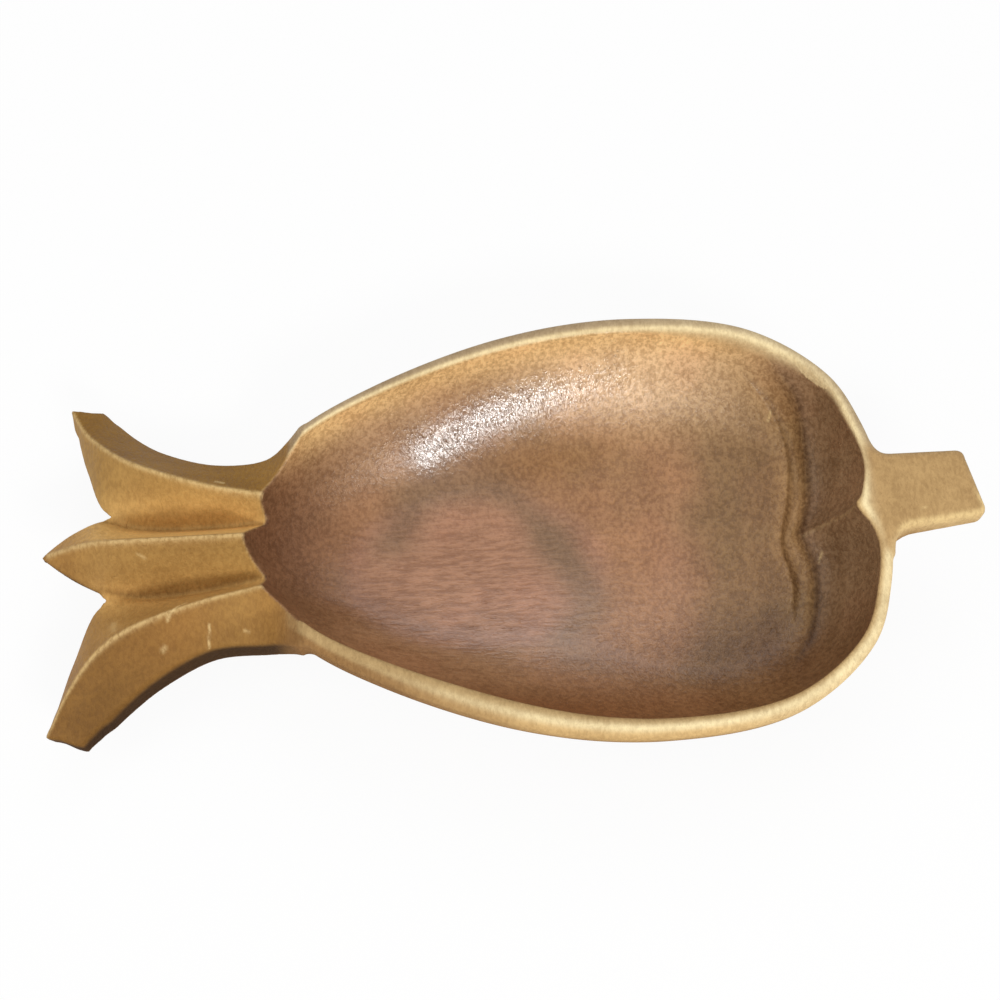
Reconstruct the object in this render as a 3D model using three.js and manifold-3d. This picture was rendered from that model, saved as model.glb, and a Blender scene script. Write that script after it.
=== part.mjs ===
// Pineapple-shaped serving bowl, carved from one block of wood.
// The body of the fruit is the bowl. Its crown of three pleated leaves is one
// handle and its flat stem is the other. Nothing on it is glued, pinned or hinged.
//
// Millimetres. +Z is up and +X points along the stem. The origin is on the table,
// under the middle of the length.
import * as THREE from "three";
import { mergeVertices } from "three/addons/utils/BufferGeometryUtils.js";
import Module from "manifold-3d";

const wasm = await Module();
wasm.setup();

// Driving dimensions of the bowl
const rimHeight = 50;
const cavityDepth = 40;
const cavityLength = 235.6;
const cavityWidth = 158.8;
const cuspDepth = 4.6; // how far the heart's point comes in from its two lobes
const cuspOffset = -2; // the point was carved this far off the middle
const floorDish = 1; // the floor's middle lies this much lower than its edge
const rimWidth = 6;
const rimWidthAtStem = 4.2;
const rimWidthAtCrown = 2.6;
const rimRounding = 1.6;

// How far the cavity's wall runs inwards on its way from the rim to the floor
const wallRunAtSides = 45;
const wallRunAtStem = 23;
const wallRunAtCrown = 42;

// How far the outside runs inwards on its way from the rim to the flat foot
const footInsetAtSides = 50;
const footInsetAtStem = 42;
const footInsetAtCrown = 46;

// Two low ledges left by the gouge at the foot of the wall below the stem
const ledgeHeight = 1.6;
const ledgeSpread = 50; // degrees to each side of the stem

// Driving dimensions of the crown
const crownLength = 78; // from the cavity to the tip of the middle leaf
const leafSpread = 69; // from the middle to the outer corner of a side leaf
const leafEndWidth = 11; // the sawn end of a side leaf
const leafEndSkew = 1.6;
const leafDrop = 29; // from the rim's height down to a side leaf's low edge
const valleyDepth = 25;
const edgeThickness = 9; // along the outer edges of the side leaves
const undersideAtNeck = 12; // height of the underside where the crown leaves the bowl
const undersideAtTip = 30;
const undercut = 4; // the leaves are thinned from below by this much at the notches
const undercutHeight = 11;
const leafEdge = 2; // what is left of a thinned edge

// Driving dimensions of the stem
const stemReach = 42; // from the cavity's lobes to the end of the stem
const stemHalfWidth = 13.4;
const stemTaper = 2; // lost from the width by the end
const stemOffset = 4.4; // the stem sits this far to the +Y side
const stemThickness = 10;
const stemEndThickness = 6.5;
const stemRise = 1.5;
const stemChamfer = 1.3;
const stemEndSkew = 3.4;
const stemCorner = 4; // rounding of the two corners at its end
const stemRootSpread = 10; // how much wider the root is on each side
const stemRootLength = 12;
const stemRootDepth = 5; // how much deeper the root is below

// Fineness of the facets
const ringPoints = 120;
const wallRows = 9;
const stepsPerStation = 3;

// Heights and places that follow from them
const overallLength = crownLength + cavityLength + stemReach;
const cavityStart = crownLength - overallLength / 2;
const cavityEnd = cavityStart + cavityLength;
const tipX = -overallLength / 2;
const stemEndX = overallLength / 2;
const floorHeight = rimHeight - cavityDepth;
const clear = 10; // how far a cutter runs past what it cuts

const mix = THREE.MathUtils.lerp;

// Manifold solid from a closed geometry
function solid(geometry) {
  const bare = geometry.clone();
  bare.deleteAttribute("normal");
  bare.deleteAttribute("uv");
  const merged = mergeVertices(bare, 1e-4);
  const mesh = new wasm.Mesh({
    numProp: 3,
    vertProperties: new Float32Array(merged.attributes.position.array),
    triVerts: new Uint32Array(merged.index.array),
  });
  return new wasm.Manifold(mesh);
}

// Closed geometry over rings of equal length. The end rings are flat in the two named axes.
function loft(rings, [u, v]) {
  const count = rings[0].length;
  const index = [];
  for (let r = 0; r < rings.length - 1; r++) {
    for (let i = 0; i < count; i++) {
      const a = r * count + i;
      const b = r * count + ((i + 1) % count);
      index.push(a, b, b + count, a, b + count, a + count);
    }
  }
  const flat = (ring) => ring.map((point) => new THREE.Vector2(point[u], point[v]));
  const lastRing = (rings.length - 1) * count;
  for (const [a, b, c] of THREE.ShapeUtils.triangulateShape(flat(rings[0]), [])) {
    index.push(c, b, a);
  }
  for (const [a, b, c] of THREE.ShapeUtils.triangulateShape(flat(rings.at(-1)), [])) {
    index.push(a + lastRing, b + lastRing, c + lastRing);
  }

  const geometry = new THREE.BufferGeometry();
  geometry.setFromPoints(rings.flat());
  geometry.setIndex(index);
  return geometry;
}

// The rim's inner edge, seen from above: from the heart's point round the crown end and back.
// Each pair is a share of the cavity's length and of its half width.
const rimShape = [
  [1, 0.2],
  [0.986, 0.43],
  [0.95, 0.664],
  [0.835, 0.918],
  [0.64, 1],
  [0.43, 0.925],
  [0.22, 0.714],
  [0.088, 0.49],
  [0.024, 0.257],
];

function rimPoint([along, across], side) {
  return new THREE.Vector3(cavityStart + along * cavityLength, (side * across * cavityWidth) / 2, 0);
}

const heartPoint = new THREE.Vector3(cavityEnd - cuspDepth, cuspOffset, 0);
const rimCurve = new THREE.CatmullRomCurve3([
  heartPoint,
  ...rimShape.map((pair) => rimPoint(pair, 1)),
  rimPoint([0, 0], 1),
  ...rimShape.map((pair) => rimPoint(pair, -1)).reverse(),
  heartPoint,
]);

// The same edge as a radius about the widest place on the axis, at equal angles from the heart's point
const centreX = cavityStart + 0.54 * cavityLength;
const angleStep = (2 * Math.PI) / ringPoints;
const firstAngle = Math.atan2(heartPoint.y, heartPoint.x - centreX);
const angles = Array.from({ length: ringPoints }, (_, i) => firstAngle + i * angleStep);

function radiiOf(curve) {
  const around = curve.getPoints(20 * ringPoints).map((p) => {
    const turn = Math.atan2(p.y, p.x - centreX);
    const angle = turn < firstAngle ? turn + 2 * Math.PI : turn;
    return { angle, radius: Math.hypot(p.x - centreX, p.y) };
  });
  around[0].angle = firstAngle;
  around[around.length - 1].angle = firstAngle + 2 * Math.PI;
  return angles.map((angle) => {
    const k = Math.max(1, around.findIndex((p) => p.angle >= angle));
    const [before, after] = [around[k - 1], around[k]];
    return mix(before.radius, after.radius, (angle - before.angle) / (after.angle - before.angle));
  });
}

// A size that has one value at the sides, one towards the stem and one towards the crown
function aroundBowl(angle, atSides, atStem, atCrown) {
  const lengthwise = Math.cos(angle);
  return mix(atSides, lengthwise > 0 ? atStem : atCrown, lengthwise ** 2);
}

const innerRadii = radiiOf(rimCurve);
const outerRadii = innerRadii.map((radius, i) => {
  const next = innerRadii[(i + 1) % ringPoints];
  const before = innerRadii[(i + ringPoints - 1) % ringPoints];
  const slope = (next - before) / (2 * radius * angleStep);
  const width = aroundBowl(angles[i], rimWidth, rimWidthAtStem, rimWidthAtCrown);
  return radius + width * Math.hypot(1, slope);
});

// A ring whose radius and height are functions of the place around the bowl
function bowlRing(radiusAt, heightAt) {
  return angles.map((angle, i) => {
    const radius = radiusAt(i);
    return new THREE.Vector3(
      centreX + radius * Math.cos(angle),
      radius * Math.sin(angle),
      heightAt(i),
    );
  });
}

// Outside of the bowl: a quarter ellipse from the flat foot up to the rim, whose edge is rounded
function makeHull() {
  const insetAt = (i) => aroundBowl(angles[i], footInsetAtSides, footInsetAtStem, footInsetAtCrown);
  const rings = [];
  for (let row = 0; row <= wallRows; row++) {
    const turn = (row / wallRows) * (Math.PI / 2);
    const height = (rimHeight - rimRounding) * (1 - Math.cos(turn));
    const inset = 1 - Math.sin(turn);
    rings.push(bowlRing((i) => outerRadii[i] - inset * insetAt(i), () => height));
  }
  const softened = rimRounding * (1 - Math.SQRT1_2);
  rings.push(bowlRing((i) => outerRadii[i] - softened, () => rimHeight - softened));
  rings.push(bowlRing((i) => outerRadii[i] - rimRounding, () => rimHeight));
  return solid(loft(rings, ["x", "y"]));
}

// Inside of the bowl, with the ledges at the foot of its wall below the stem
function makeCavity() {
  const runAt = (i) => aroundBowl(angles[i], wallRunAtSides, wallRunAtStem, wallRunAtCrown);
  const ledgeAt = (i) => {
    const away = Math.abs(Math.atan2(Math.sin(angles[i]), Math.cos(angles[i])));
    const spread = THREE.MathUtils.degToRad(ledgeSpread);
    return ledgeHeight * (1 - THREE.MathUtils.smoothstep(away, spread / 2, spread));
  };
  const wallDepth = cavityDepth - floorDish;
  const rings = [bowlRing((i) => 0.4 * (innerRadii[i] - runAt(i)), () => floorHeight)];
  // Share of the wall's run, and how much of a ledge's height lies there
  const foot = [
    [1, 0],
    [0.86, -0.3],
    [0.8, 0.7],
    [0.6, -0.2],
    [0.53, 0.8],
  ];
  for (const [run, raised] of foot) {
    const height = rimHeight - wallDepth * Math.sqrt(1 - (1 - run) ** 2);
    rings.push(bowlRing((i) => innerRadii[i] - run * runAt(i), (i) => height + raised * ledgeAt(i)));
  }
  for (let row = 1; row <= wallRows; row++) {
    const run = 0.44 * (1 - row / wallRows) ** 2;
    const height = rimHeight - rimRounding - (wallDepth - rimRounding) * Math.sqrt(1 - (1 - run) ** 2);
    rings.push(bowlRing((i) => innerRadii[i] - run * runAt(i), () => height));
  }
  const softened = rimRounding * (1 - Math.SQRT1_2);
  rings.push(bowlRing((i) => innerRadii[i] + softened, () => rimHeight - softened));
  rings.push(bowlRing((i) => innerRadii[i] + rimRounding, () => rimHeight));
  rings.push(bowlRing((i) => innerRadii[i] + rimRounding, () => rimHeight + clear));
  return solid(loft(rings, ["x", "y"]));
}

// Stations of the crown's pleated top, from beyond the tips to the rim. Each row starts with a
// share of the crown's length, from the cavity. The lines of the pleats follow: crest, the middle
// leaf's ridge, then valley, then the inner edge, the ridge and the outer edge of a side leaf.
// A pair is a share of leafSpread from the middle and a share of the line's depth below the rim.
const stations = [
  [1.11, [0, 0.8], [0.26, 1.0], [1.06, 1.0], [1.16, 0.83], [1.25, 0.95]],
  [0.95, [0, 0.44], [0.24, 0.84], [0.9, 0.9], [0.98, 0.76], [1.07, 0.88]],
  [0.845, [0, 0.24], [0.232, 0.7], [0.587, 0.77], [0.783, 0.56], [1.03, 0.95]],
  [0.72, [0, 0.1], [0.212, 0.6], [0.29, 0.62], [0.623, 0.33], [0.917, 1.02]],
  [0.604, [0, 0.05], [0.206, 0.9], [0.275, 0.62], [0.522, 0.23], [0.793, 0.98]],
  [0.46, [0, 0.04], [0.203, 1.03], [0.254, 0.7], [0.443, 0.2], [0.674, 0.88]],
  [0.19, [0, 0.04], [0.188, 0.96], [0.222, 0.69], [0.338, 0.22], [0.549, 0.68]],
  [-0.07, [0, 0.03], [0.16, 0.7], [0.183, 0.6], [0.272, 0.23], [0.551, 0.57]],
  [-0.19, [0, 0.01], [0.152, 0.48], [0.174, 0.34], [0.243, 0.17], [0.594, 0.29]],
  [-0.29, [0, 0], [0.145, 0], [0.167, 0], [0.225, 0], [0.645, 0]],
];
// The side leaves end at the second station, and the notches between the leaves at the fourth
const [, tipStation, , notchStation] = stations;

const stationX = ([along]) => cavityStart - along * crownLength;
const crownBackX = cavityStart + 0.36 * crownLength; // the crown's block ends inside the bowl's

// A line of the pleats as a smooth curve
function pleat(column, depth) {
  const places = stations.map((station) => {
    const [aside, down] = station[column];
    return new THREE.Vector3(stationX(station), aside * leafSpread, rimHeight - down * depth);
  });
  return new THREE.CatmullRomCurve3(places);
}

const pleats = {
  crest: pleat(1, valleyDepth),
  valley: pleat(2, valleyDepth),
  inner: pleat(3, leafDrop),
  ridge: pleat(4, leafDrop),
  outer: pleat(5, leafDrop),
};

const sideways = (point) => new THREE.Vector3(point.x, -point.y, point.z);

// What is carved away above the leaves, as a loft of pleated sections along the crown
function makeLandCutter() {
  const steps = (stations.length - 1) * stepsPerStation;
  const sections = [];
  for (let step = 0; step <= steps; step++) {
    const at = (name) => pleats[name].getPoint(step / steps);
    const outer = at("outer");
    const ridge = at("ridge");
    const beyond = outer.clone().add(outer.clone().sub(ridge).setLength(clear));
    const half = [at("valley"), at("inner"), ridge, outer, beyond];
    half.push(new THREE.Vector3(beyond.x, beyond.y, rimHeight + clear));
    sections.push([at("crest"), ...half, ...half.map(sideways).reverse()]);
  }
  // The first section is closed flat at the far end
  for (const section of [sections[0], sections.at(-1)]) {
    const x = section[0].x;
    for (const point of section) point.x = x;
  }
  return solid(loft(sections, ["y", "z"]));
}

// Height of the crown's underside
function undersideHeight(x, y) {
  const along = THREE.MathUtils.clamp((cavityStart - x) / crownLength, 0, 1.2);
  const middle = mix(undersideAtNeck, undersideAtTip, along ** 1.5);
  const outer = pointAtX(pleats.outer, x);
  const edge = outer.z - edgeThickness * mix(1.1, 0.45, Math.min(along, 1) ** 3);
  return mix(middle, edge, (y / outer.y) ** 2);
}

// The place where a pleat line crosses the plane of constant x, or its nearer end
function pointAtX(curve, anyX) {
  const points = curve.getPoints(120);
  const x = THREE.MathUtils.clamp(anyX, points[0].x, points.at(-1).x);
  const k = Math.max(1, points.findIndex((p) => p.x >= x));
  const [before, after] = [points[k - 1], points[k]];
  return before.clone().lerp(after, (x - before.x) / (after.x - before.x));
}

// What is carved away below the leaves
function makeUndersideCutter() {
  const first = stationX(stations[0]) + 1;
  const last = crownBackX + clear;
  const rows = 18;
  const across = 12;
  const sections = [];
  for (let row = 0; row <= rows; row++) {
    const x = mix(first, last, row / rows);
    const reach = pointAtX(pleats.outer, x).y + clear;
    const section = [new THREE.Vector3(x, -reach, -clear), new THREE.Vector3(x, reach, -clear)];
    for (let i = 0; i <= across; i++) {
      const y = mix(reach, -reach, i / across);
      section.push(new THREE.Vector3(x, y, undersideHeight(x, y)));
    }
    sections.push(section);
  }
  return solid(loft(sections, ["y", "z"]));
}

// Outline of the crown, seen from above, for the +Y side: from the bowl to the middle leaf's tip.
// thin tells where the leaf is thinned from below.
function crownOutline() {
  const points = [];
  const add = (point, thin) => points.push({ point, thin });

  // Outer edge of the side leaf, from inside the bowl's block to the sawn end
  const joinX = cavityStart + 0.26 * crownLength;
  const outerCornerX = tipX + 0.2 * crownLength;
  const edgeSteps = 16;
  add(new THREE.Vector3(crownBackX, leafSpread / 2, rimHeight), 0);
  for (let i = 0; i < edgeSteps; i++) {
    add(pointAtX(pleats.outer, mix(joinX, outerCornerX, i / edgeSteps)), 0);
  }
  add(pointAtX(pleats.outer, outerCornerX).setY(leafSpread), 0);
  const innerCorner = new THREE.Vector3(
    outerCornerX - leafEndWidth,
    leafSpread - leafEndSkew,
    rimHeight - tipStation[4][1] * leafDrop,
  );
  add(innerCorner, 0.3);

  // Inner edge of the side leaf, back to the notch
  const notchX = stationX(notchStation);
  const innerSteps = 6;
  for (let i = 1; i <= innerSteps; i++) {
    const share = i / innerSteps;
    const point = pointAtX(pleats.inner, mix(innerCorner.x, notchX, share));
    const widest = mix(innerCorner.y, point.y, Math.min(1, 3 * share));
    add(point.setY(Math.min(point.y, widest)), 1);
  }

  // The notch's round end, then the middle leaf's edge out to its tip
  const valleyEnd = pointAtX(pleats.valley, notchX);
  const side = points.at(-1).point;
  add(new THREE.Vector3(notchX + leafEdge, mix(side.y, valleyEnd.y, 0.5), valleyEnd.z), 1);
  const tip = new THREE.Vector3(tipX, 0, rimHeight - 0.56 * valleyDepth);
  const bulge = new THREE.Vector3(mix(notchX, tipX, 0.55), 0.13 * leafSpread, mix(valleyEnd.z, tip.z, 0.9));
  const middleEdge = new THREE.QuadraticBezierCurve3(valleyEnd, bulge, tip).getPoints(5);
  for (const point of middleEdge.slice(0, -1)) {
    add(point, 1);
  }
  add(tip, 0);
  return points;
}

// The crown as a block with the leaves' outline, thinned from below beside the notches
function makeCrown() {
  const north = crownOutline();
  const south = north.slice(0, -1).map(({ point, thin }) => ({ point: sideways(point), thin }));
  const outline = [...north, ...south.reverse()];
  const inwards = outline.map((_, i) => {
    const before = outline.at(i - 1).point;
    const after = outline[(i + 1) % outline.length].point;
    return new THREE.Vector3(before.y - after.y, after.x - before.x, 0).normalize();
  });
  const ring = (heightOf, insetShare) =>
    outline.map(({ point, thin }, i) => {
      const moved = point.clone().addScaledVector(inwards[i], insetShare * thin * undercut);
      return moved.setZ(heightOf(point));
    });
  const rings = [
    ring(() => 0, 1),
    ring((point) => point.z - undercutHeight, 1),
    ring((point) => point.z - leafEdge, 0),
    ring(() => rimHeight, 0),
  ];
  return solid(loft(rings, ["x", "y"])).subtract(makeUndersideCutter());
}

// The stem: a flat tab with worn edges, flared where it grows out of the rim
function makeStem() {
  const rootX = cavityEnd + rimWidthAtStem;
  const buriedX = cavityEnd - stemCorner;
  const edgeX = stemEndX - stemChamfer;
  const cornerX = edgeX - stemEndSkew;
  const north = stemOffset + stemHalfWidth;
  const south = stemOffset - stemHalfWidth;
  const northEnd = north - stemTaper / 4;
  const southEnd = south + stemTaper;
  const plan = new THREE.Shape();
  plan.moveTo(buriedX, south - stemRootSpread);
  plan.lineTo(rootX, south - stemRootSpread);
  plan.quadraticCurveTo(rootX + stemRootLength / 6, south, rootX + stemRootLength, south);
  plan.lineTo(edgeX - stemCorner, southEnd);
  plan.quadraticCurveTo(edgeX, southEnd, edgeX, southEnd + stemCorner);
  plan.lineTo(cornerX, northEnd - stemCorner);
  plan.quadraticCurveTo(cornerX, northEnd, cornerX - stemCorner, northEnd);
  plan.lineTo(rootX + stemRootLength / 2, north);
  plan.quadraticCurveTo(rootX, north, buriedX, north + stemRootSpread);
  const slab = new THREE.ExtrudeGeometry(plan, {
    depth: 2 * stemThickness - 2 * stemChamfer,
    bevelThickness: stemChamfer,
    bevelSize: stemChamfer,
    bevelSegments: 2,
    curveSegments: 6,
  });
  slab.translate(0, 0, rimHeight - 2 * stemThickness + stemChamfer);

  // Seen from the side the underside runs up towards the end
  const underside = rimHeight - stemThickness;
  const pastEnd = stemEndX + clear;
  const side = new THREE.Shape();
  side.moveTo(buriedX - clear, underside - stemRootDepth);
  side.lineTo(rootX, underside - stemRootDepth);
  side.quadraticCurveTo(rootX + stemRootLength / 3, underside, rootX + stemRootLength, underside);
  side.lineTo(pastEnd, rimHeight - stemEndThickness);
  side.lineTo(pastEnd, rimHeight + clear);
  side.lineTo(buriedX - clear, rimHeight + clear);
  const reach = Math.abs(stemOffset) + stemHalfWidth + stemRootSpread + clear;
  const profile = new THREE.ExtrudeGeometry(side, {
    depth: 2 * reach,
    bevelEnabled: false,
    curveSegments: 6,
  });
  profile.rotateX(Math.PI / 2);
  profile.translate(0, reach, 0);

  const rise = THREE.MathUtils.radToDeg(Math.atan(stemRise / (stemEndX - rootX)));
  return solid(slab)
    .intersect(solid(profile))
    .translate([-rootX, 0, -rimHeight])
    .rotate([0, -rise, 0])
    .translate([rootX, 0, rimHeight]);
}

const carving = makeHull()
  .add(makeCrown())
  .add(makeStem())
  .subtract(makeLandCutter())
  .subtract(makeCavity());

const carvedMesh = carving.getMesh();
const carvedGeometry = new THREE.BufferGeometry();
carvedGeometry.setAttribute("position", new THREE.BufferAttribute(carvedMesh.vertProperties, 3));
carvedGeometry.setIndex(new THREE.BufferAttribute(carvedMesh.triVerts, 1));
carvedGeometry.computeVertexNormals();

const oiledWood = new THREE.MeshStandardMaterial({ color: 0x8f6437, roughness: 0.5, metalness: 0 });
const carvedBowl = new THREE.Mesh(carvedGeometry, oiledWood);
carvedBowl.name = "carved_bowl";

const bowl = new THREE.Group();
bowl.add(carvedBowl);

export default bowl;
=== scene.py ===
"""Pineapple-shaped serving bowl, carved from one block of wood.

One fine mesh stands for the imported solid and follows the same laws: a rim outline in polar form,
elliptical walls, pleated leaves and a flat stem. They are joined as signed distances with softened
edges, and meshed where the distance is zero. Lengths are millimetres until a mesh, a lamp or the
camera is made.
"""

import math

import bpy
import numpy as np
from mathutils import Matrix, Vector


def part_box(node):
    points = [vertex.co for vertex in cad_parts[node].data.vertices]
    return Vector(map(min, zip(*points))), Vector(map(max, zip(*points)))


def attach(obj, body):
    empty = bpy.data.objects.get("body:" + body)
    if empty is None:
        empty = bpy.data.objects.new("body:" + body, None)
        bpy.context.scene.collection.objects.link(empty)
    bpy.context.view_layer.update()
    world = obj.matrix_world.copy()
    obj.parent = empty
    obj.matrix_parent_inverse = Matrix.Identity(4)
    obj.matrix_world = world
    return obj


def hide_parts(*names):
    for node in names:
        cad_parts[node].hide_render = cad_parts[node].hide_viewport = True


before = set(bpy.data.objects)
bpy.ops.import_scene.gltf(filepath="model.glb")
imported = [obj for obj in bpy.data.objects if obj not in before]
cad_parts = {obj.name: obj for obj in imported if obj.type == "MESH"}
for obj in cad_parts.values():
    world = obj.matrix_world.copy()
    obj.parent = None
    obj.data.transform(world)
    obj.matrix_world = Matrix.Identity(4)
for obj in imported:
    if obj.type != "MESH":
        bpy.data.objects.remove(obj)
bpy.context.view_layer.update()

M = 0.001  # one millimetre in metres
NODE = "carved_bowl"
node_low, node_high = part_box(NODE)

# The bowl
TIP_X = node_low[0] / M
RIM_HEIGHT = 50.0
CAVITY_DEPTH = 40.0
CAVITY_LENGTH = 235.6
CAVITY_WIDTH = 158.8
CENTRE_SHARE = 0.54  # of the cavity's length, from its start at the crown
CUSP_DEPTH = 4.6
CUSP_OFFSET = -2.0
FLOOR_DISH = 1.0
DISH_OFFSET = 12.0  # of the dish's middle from the bowl's centre, towards the crown
DISH_HALF_SIZE = (90.0, 48.0)
RIM_WIDTH = {"sides": 6.9, "stem": 4.8, "crown": 2.8}
RIM_ROUNDING = {"outside": 0.62, "inside": 0.5}  # shares of the rim's width
FACET_EXTRA = 4.0  # the rim is this much wider where it was worn flat
FACET_ANGLE = -146.0  # degrees round from the stem
FACET_SPREAD = 48.0
FACET_START = (14.0, 28.0)  # distances south of the middle over which the facet begins
WALL_RUN = {"sides": 45.0, "stem": 23.0, "crown": 42.0}
FOOT_INSET = {"sides": 50.0, "stem": 42.0, "crown": 46.0}

# The crown
CROWN_LENGTH = 78.0
CROWN_BURIED = 0.36  # share of its length that the crown's blank runs on into the bowl
EDGE_BURIED = 0.26  # the same for the side leaves' outer edges
CROWN_REGION = 0.42  # the same for the region where the crown is worked out
LEAF_SPREAD = 69.0
LEAF_CORNER = 0.2  # share of the crown's length from its tip to the side leaves' corners
LEAF_END_WIDTH = 11.0
LEAF_END_SKEW = 1.6
LEAF_DROP = 29.0
VALLEY_DEPTH = 25.0
TIP_DROP = 0.56  # of the middle leaf's tip below the rim, as a share of the valleys' depth
TIP_BULGE = (0.55, 0.13, 0.9)  # shares of the way to the tip, of the spread and of the drop
EDGE_THICKNESS = 13.5
EDGE_SHARES = (1.1, 0.45)  # of that thickness at the neck and at the tips
OUTER_LIFT = 3.0  # of the north leaf's outer edge
OUTER_LIFT_X = -135.0
OUTER_LIFT_REACH = 28.0
RIDGE_WEAR = 1.0
VALLEY_WEAR = 0.7  # on top of the ridges' wear
VALLEY_WEAR_REACH = 4.5
UNDERSIDE_AT_NECK = 12.0
UNDERSIDE_AT_TIP = 30.0
UNDERCUT = 4.0
UNDERCUT_HEIGHT = 11.0
LEAF_EDGE = 2.0
END_ROUGHNESS = 0.55  # of the side leaves' sawn ends
END_GRAIN = 9.0
END_REGION = ((148.0, 162.0), (50.0, 60.0))  # distances from the middle along x and y

# The stem
STEM_REACH = 42.0
STEM_HALF_WIDTH = 13.4
STEM_EXTRA = {"north": 1.6, "south": 2.2}  # added to the half width on each side
STEM_TAPER = 2.0
STEM_OFFSET = 4.4
STEM_THICKNESS = 12.0
STEM_END_THICKNESS = 9.0
STEM_RISE = 1.5
STEM_END_SKEW = 3.4
STEM_CORNER = 4.0
STEM_ROOT_SPREAD = 10.0
STEM_ROOT_LENGTH = 12.0
STEM_ROOT_DEPTH = 5.0
STEM_REGION = 30.0  # the stem is worked out from this far inside the cavity's end

# Widths over which the edges between two forms are rounded
ROUNDING = {
    "crown below": 2.0,
    "crown and bowl": 5.0,
    "stem below": 3.0,
    "stem and bowl": 4.0,
    "stem above": 2.4,
    "leaves above": 0.9,
}

CAVITY_START = TIP_X + CROWN_LENGTH
CAVITY_END = CAVITY_START + CAVITY_LENGTH
CENTRE_X = CAVITY_START + CENTRE_SHARE * CAVITY_LENGTH
STEM_ROOT_X = CAVITY_END + RIM_WIDTH["stem"]
STEM_END_X = CAVITY_END + STEM_REACH

CELL = 0.8  # spacing of the mesh's points
MARGIN = 2.5 * CELL
FAR = 1000.0  # further than any place on the carving
CURVE_STEPS = {"outer edge": 24, "inner edge": 15, "tip": 10, "corner": 8}


def mix(a, b, share):
    return a + (b - a) * share


def smoothstep(value, low, high):
    share = np.clip((value - low) / (high - low), 0, 1)
    return share * share * (3 - 2 * share)


def bell(value, middle, reach):
    return np.exp(-(((value - middle) / reach) ** 2))


def soft_min(a, b, width):
    """The smaller of two distances, with the edge between them rounded over width."""
    share = np.clip(0.5 + 0.5 * (b - a) / width, 0, 1)
    return mix(b, a, share) - width * share * (1 - share)


def soft_max(a, b, width):
    return -soft_min(-a, -b, width)


def wander(x, y, size, seed):
    """A smooth field between about -1 and 1 that changes over the given size."""
    waves = 7
    shortest, longest = 0.7, 1.8
    last_phase = 6.28
    rng = np.random.default_rng(seed)
    total = np.zeros(np.shape(x))
    for _ in range(waves):
        turn = rng.uniform(0, 2 * np.pi)
        pace = 2 * np.pi / size / rng.uniform(shortest, longest)
        phase = rng.uniform(0, last_phase)
        total = total + np.sin(pace * (x * np.cos(turn) + y * np.sin(turn)) + phase)
    return 2 * total / waves


def smooth_curve(points, steps=24):
    """A centripetal Catmull-Rom curve through the points, its ends reflected."""
    points = np.array(points, float)
    p = np.concatenate([[2 * points[0] - points[1]], points, [2 * points[-1] - points[-2]]])
    t = np.concatenate([[0], np.cumsum(np.linalg.norm(np.diff(p, axis=0), axis=1) ** 0.5)])
    out = []
    for i in range(1, len(p) - 2):
        for s in np.linspace(t[i], t[i + 1], steps, endpoint=False):
            a = [mix(p[k], p[k + 1], (s - t[k]) / (t[k + 1] - t[k])) for k in (i - 1, i, i + 1)]
            b = [
                mix(a[k], a[k + 1], (s - t[i - 1 + k]) / (t[i + 1 + k] - t[i - 1 + k]))
                for k in (0, 1)
            ]
            out.append(mix(b[0], b[1], (s - t[i]) / (t[i + 1] - t[i])))
    out.append(points[-1])
    return np.array(out)


# The rim's inner edge, seen from above: shares of the cavity's length and of its half width
RIM_SHAPE = [(1, 0.2), (0.986, 0.43), (0.95, 0.664), (0.835, 0.918), (0.64, 1), (0.43, 0.925),
             (0.22, 0.714), (0.088, 0.49), (0.024, 0.257)]


def rim_table():
    """Radius and slope of the rim's inner edge at even angles about the bowl's centre."""
    heart = (CAVITY_END - CUSP_DEPTH, CUSP_OFFSET)
    half = [(CAVITY_START + a * CAVITY_LENGTH, w * CAVITY_WIDTH / 2) for a, w in RIM_SHAPE]
    far = [(CAVITY_START, 0.0)]
    back = [(x, -y) for x, y in reversed(half)]
    edge = smooth_curve([heart] + half + far + back + [heart])
    turn = np.unwrap(np.arctan2(edge[:, 1], edge[:, 0] - CENTRE_X))
    radius = np.hypot(edge[:, 0] - CENTRE_X, edge[:, 1])
    angle = np.linspace(turn[0], turn[0] + 2 * np.pi, 721)
    even = np.interp(angle, turn, radius)
    slope = np.gradient(even, angle) / even
    return angle, even, slope


RIM_ANGLE, RIM_RADIUS, RIM_SLOPE = rim_table()


def around_bowl(sizes, lengthwise):
    """A size that has one value at the sides, one towards the stem and one towards the crown."""
    end = np.where(lengthwise > 0, sizes["stem"], sizes["crown"])
    return mix(sizes["sides"], end, lengthwise**2)


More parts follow.
